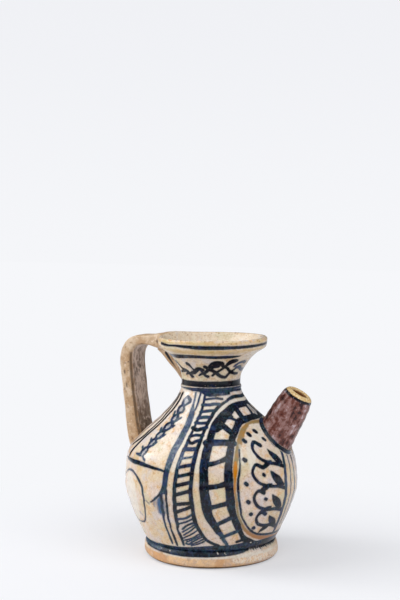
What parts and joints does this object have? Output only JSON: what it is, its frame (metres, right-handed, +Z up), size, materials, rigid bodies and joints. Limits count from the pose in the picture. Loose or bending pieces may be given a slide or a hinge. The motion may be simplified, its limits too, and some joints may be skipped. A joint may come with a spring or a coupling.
{
  "type": "oil cruet",
  "caption": "Tin-glazed earthenware oil cruet: round belly on a disc foot, funnel mouth, upward spout and strap handle, painted with ladders, bands and a framed spray.",
  "frame": {"origin": "centre of the flat underside of the foot", "axes": "+Z up through the mouth, handle towards -X, spout towards +X but turned 15 degrees to +Y"},
  "size_m": [0.1899, 0.1586, 0.2022],
  "materials": {
    "biscuit": "unglazed buff earthenware with a splashed glaze edge, matt",
    "tin_glaze": "cream tin glaze over buff clay, painted in cobalt and ochre, glossy with crazing",
    "cobalt_glaze": "cobalt painted glaze, glossy",
    "manganese_glaze": "mottled manganese painted glaze, glossy",
    "plain_glaze": "thin plain glaze over buff clay, satin with pits"
  },
  "bodies": {
    "root": {"foot_disc": "biscuit", "belly": "tin_glaze", "neck_funnel": "tin_glaze", "neck_cordon": "cobalt_glaze", "spout_tube": "manganese_glaze", "spout_luting": "cobalt_glaze", "strap_handle": "plain_glaze", "handle_top_luting": "plain_glaze", "handle_foot_luting": "plain_glaze"}
  },
  "joints": []
}
